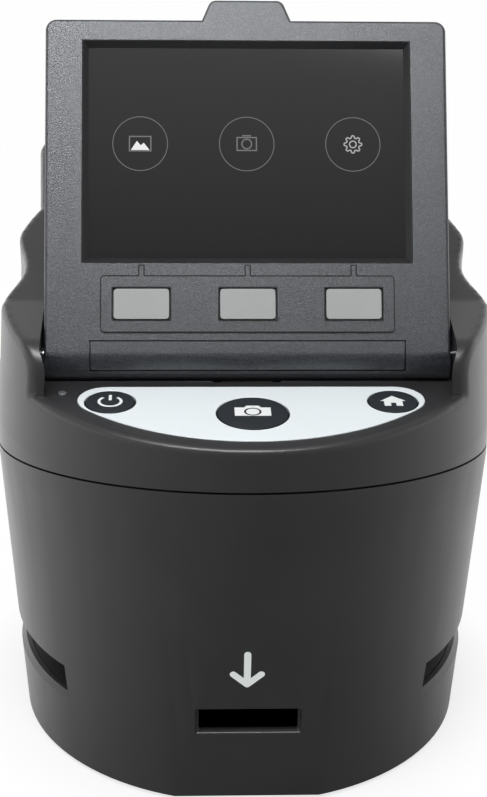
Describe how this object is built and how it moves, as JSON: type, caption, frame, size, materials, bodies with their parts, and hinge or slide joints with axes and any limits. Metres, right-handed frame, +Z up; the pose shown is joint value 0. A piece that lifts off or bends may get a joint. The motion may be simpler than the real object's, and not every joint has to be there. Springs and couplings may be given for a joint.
{
  "type": "film negative scanner",
  "caption": "Desktop scanner for film negatives: round tapered body with a film channel through its foot, button panel and tilting screen lid.",
  "frame": {"origin": "centre of the object's outer box on the plane that its rubber feet stand on", "axes": "+Z up, -Y towards the user at the rounded front, +X to the user's right; the film channel runs along X"},
  "size_m": [0.12, 0.127, 0.1755],
  "materials": {
    "casing_plastic": "fine satin, charcoal",
    "lid_plastic": "fine sparkling grain, blue-grey",
    "panel_white": "glossy printed sheet",
    "button_slate": "satin slate",
    "key_grey": "satin light grey",
    "black_plastic": "matt black",
    "screen_cover": "clear sheet over a dark display",
    "display": "dark",
    "foot_rubber": "matt",
    "screw_steel": "zinc plated",
    "pin_steel": "ground",
    "bush_steel": "oiled",
    "board_green": "solder mask over glass fibre",
    "chip_black": "moulded",
    "lamp_white": "phosphor",
    "opal_white": "opal acrylic",
    "lens_glass": "coated glass",
    "smoked_lens": "smoked clear plastic",
    "port_steel": "tinned steel",
    "ribbon_film": "polyester film"
  },
  "bodies": {
    "casing": {"lower_shell": "casing_plastic", "base_plate": "casing_plastic", "rubber_feet": "foot_rubber", "base_screws": "screw_steel", "tray_bed": "black_plastic", "tray_screws": "screw_steel", "aperture_plate": "black_plastic", "aperture_screws": "screw_steel", "backlight_board": "board_green", "backlight_lamps": "lamp_white", "light_box": "opal_white", "light_diffuser": "opal_white", "light_shaft": "black_plastic", "lens_bracket": "black_plastic", "bracket_screws": "screw_steel", "lens_holder": "black_plastic", "lens_barrel": "black_plastic", "lens_glass": "lens_glass", "sensor_board": "board_green", "image_sensor": "chip_black", "sensor_screws": "screw_steel", "sensor_ribbon": "ribbon_film", "upper_shell": "casing_plastic", "case_screws": "screw_steel", "panel_inlay": "panel_white", "status_lens": "smoked_lens", "status_lamp": "lamp_white", "button_board": "board_green", "button_switches": "chip_black", "button_board_screws": "screw_steel", "main_board": "board_green", "processor": "chip_black", "memory_chip": "chip_black", "ribbon_connector": "ribbon_film", "main_board_screws": "screw_steel", "usb_port": "port_steel", "tv_port": "port_steel", "card_socket": "port_steel", "hinge_pins": "pin_steel", "body_ribbon": "ribbon_film"},
    "lid": {"lid_front": "lid_plastic", "lid_back": "lid_plastic", "lid_screws": "screw_steel", "screen_bezel": "black_plastic", "screen_glass": "screen_cover", "lcd_panel": "display", "key_board": "board_green", "key_switches": "chip_black", "hinge_strip": "lid_plastic", "hinge_bushes": "bush_steel", "lid_ribbon": "ribbon_film"},
    "left_key": {"left_key": "key_grey"},
    "middle_key": {"middle_key": "key_grey"},
    "right_key": {"right_key": "key_grey"},
    "power_button": {"power_button": "button_slate"},
    "capture_button": {"capture_button": "button_slate"},
    "home_button": {"home_button": "button_slate"}
  },
  "joints": [
    {"name": "lid_tilt", "type": "hinge", "parent": "casing", "child": "lid", "pos_m": [0, -0.0225, 0.0993], "axis": [1, 0, 0], "range_deg": [-46.1, 12]},
    {"name": "power_button_press", "type": "slide", "parent": "casing", "child": "power_button", "axis": [0, 0.0663, -0.9978], "range_m": [0, 0.0007], "stiffness_N_per_m": 600, "springref_m": -0.0008},
    {"name": "home_button_press", "type": "slide", "parent": "casing", "child": "home_button", "axis": [0, 0.0663, -0.9978], "range_m": [0, 0.0007], "stiffness_N_per_m": 600, "springref_m": -0.0008},
    {"name": "capture_button_press", "type": "slide", "parent": "casing", "child": "capture_button", "axis": [0, 0.0663, -0.9978], "range_m": [0, 0.0007], "stiffness_N_per_m": 800, "springref_m": -0.0008},
    {"name": "left_key_press", "type": "slide", "parent": "lid", "child": "left_key", "axis": [0, 0.887, -0.4617], "range_m": [0, 0.0006], "stiffness_N_per_m": 600, "springref_m": -0.0008},
    {"name": "middle_key_press", "type": "slide", "parent": "lid", "child": "middle_key", "axis": [0, 0.887, -0.4617], "range_m": [0, 0.0006], "stiffness_N_per_m": 600, "springref_m": -0.0008},
    {"name": "right_key_press", "type": "slide", "parent": "lid", "child": "right_key", "axis": [0, 0.887, -0.4617], "range_m": [0, 0.0006], "stiffness_N_per_m": 600, "springref_m": -0.0008}
  ]
}
